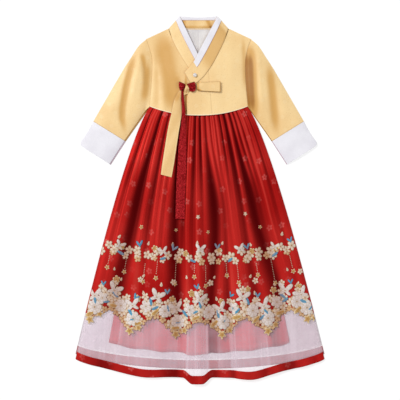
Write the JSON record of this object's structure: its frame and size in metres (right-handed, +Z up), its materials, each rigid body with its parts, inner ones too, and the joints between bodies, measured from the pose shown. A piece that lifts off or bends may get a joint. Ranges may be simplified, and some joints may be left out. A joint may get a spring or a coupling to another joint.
{
  "type": "korean hanbok, a girl's jacket and skirt laid flat",
  "caption": "Child's hanbok laid flat on its back: a silk jacket with a tied breast ribbon over a high gathered satin skirt with an embroidered border and a sheer hem.",
  "frame": {"origin": "middle of the garment's outline, on the surface that it lies on", "axes": "+Z up out of the surface, towards the garment's front; +Y from the hem to the collar; +X to the viewer's right, the wearer's left"},
  "size_m": [0.647, 0.955, 0.0299],
  "materials": {
    "gold_silk": "pale gold jacquard silk with a soft sheen",
    "white_cotton": "white fine cotton, matt",
    "white_lining": "plain white lining",
    "red_satin": "red satin with a tone-on-tone motif",
    "red_ribbon": "dark red ribbon silk with a scroll pattern",
    "organza": "white sheer organza",
    "embroidery": "embroidery in cream, peach, gold and blue thread",
    "red_lining": "plain red lining cloth",
    "pearl": "pearly"
  },
  "bodies": {
    "root": {"back_lining": "white_lining", "border_embroidery": "embroidery", "button": "pearl", "collar_back": "gold_silk", "collar_inner": "gold_silk", "collar_outer": "gold_silk", "collar_strip_back": "white_cotton", "collar_strip_inner": "white_cotton", "collar_strip_outer": "white_cotton", "cuff_left_back": "white_cotton", "cuff_left_front": "white_cotton", "cuff_right_back": "white_cotton", "cuff_right_front": "white_cotton", "front_gore": "gold_silk", "front_inner": "gold_silk", "front_outer": "gold_silk", "hem_band_back": "red_satin", "hem_band_front": "red_satin", "jacket_back": "gold_silk", "sheer_back": "organza", "sheer_front": "organza", "skirt_back": "red_satin", "skirt_front": "red_satin", "sleeve_left_back": "gold_silk", "sleeve_left_front": "gold_silk", "sleeve_right_back": "gold_silk", "sleeve_right_front": "gold_silk", "tie_gold": "gold_silk", "tie_knot": "red_ribbon", "tie_loop": "gold_silk", "tie_red": "red_ribbon", "underskirt_back": "red_lining", "underskirt_front": "red_lining", "waistband_back": "white_lining", "waistband_front": "white_lining"}
  },
  "joints": []
}
